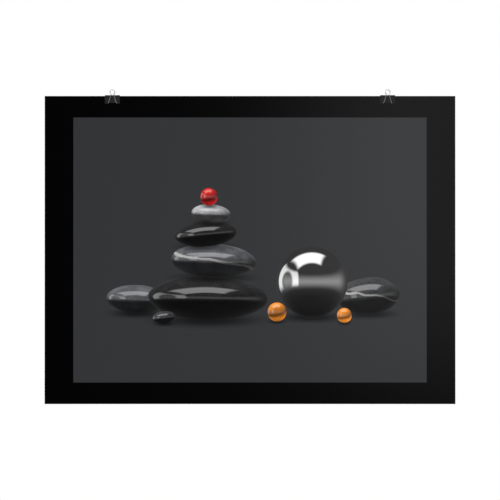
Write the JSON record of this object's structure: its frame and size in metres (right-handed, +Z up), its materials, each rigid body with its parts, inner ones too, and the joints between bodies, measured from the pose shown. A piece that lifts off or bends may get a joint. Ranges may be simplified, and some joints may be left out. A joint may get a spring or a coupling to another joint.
{
  "type": "hanging poster",
  "caption": "Landscape paper poster that hangs by its top edge from fold-back clips, whose wire levers swing in curls rolled along the jaws.",
  "frame": {"origin": "on the hanging line, midway between the clips and level with the middles of the levers' eyes, in the paper's middle plane", "axes": "+X along the sheet's width, to the right of a person who faces the print, +Y from the print to the back, +Z up"},
  "size_m": [0.6096, 0.0168, 0.4669],
  "materials": {
    "printed_paper": "matt print on white stock",
    "spring_steel": "black enamel",
    "lever_wire": "bright nickel plate"
  },
  "bodies": {
    "poster": {"poster_sheet": "printed_paper", "left_clip_spring": "spring_steel", "right_clip_spring": "spring_steel"},
    "left_front_lever": {"left_front_lever": "lever_wire"},
    "left_rear_lever": {"left_rear_lever": "lever_wire"},
    "right_front_lever": {"right_front_lever": "lever_wire"},
    "right_rear_lever": {"right_rear_lever": "lever_wire"}
  },
  "joints": [
    {"name": "left_front_lever_hinge", "type": "hinge", "parent": "poster", "child": "left_front_lever", "pos_m": [-0.2043, -0.00103, -0.01622], "axis": [1, 0, 0], "range_deg": [0, 158]},
    {"name": "left_rear_lever_hinge", "type": "hinge", "parent": "poster", "child": "left_rear_lever", "pos_m": [-0.2043, 0.00103, -0.01622], "axis": [-1, 0, 0], "range_deg": [0, 158]},
    {"name": "right_front_lever_hinge", "type": "hinge", "parent": "poster", "child": "right_front_lever", "pos_m": [0.2043, -0.00103, -0.01622], "axis": [1, 0, 0], "range_deg": [0, 158]},
    {"name": "right_rear_lever_hinge", "type": "hinge", "parent": "poster", "child": "right_rear_lever", "pos_m": [0.2043, 0.00103, -0.01622], "axis": [-1, 0, 0], "range_deg": [0, 158]}
  ]
}
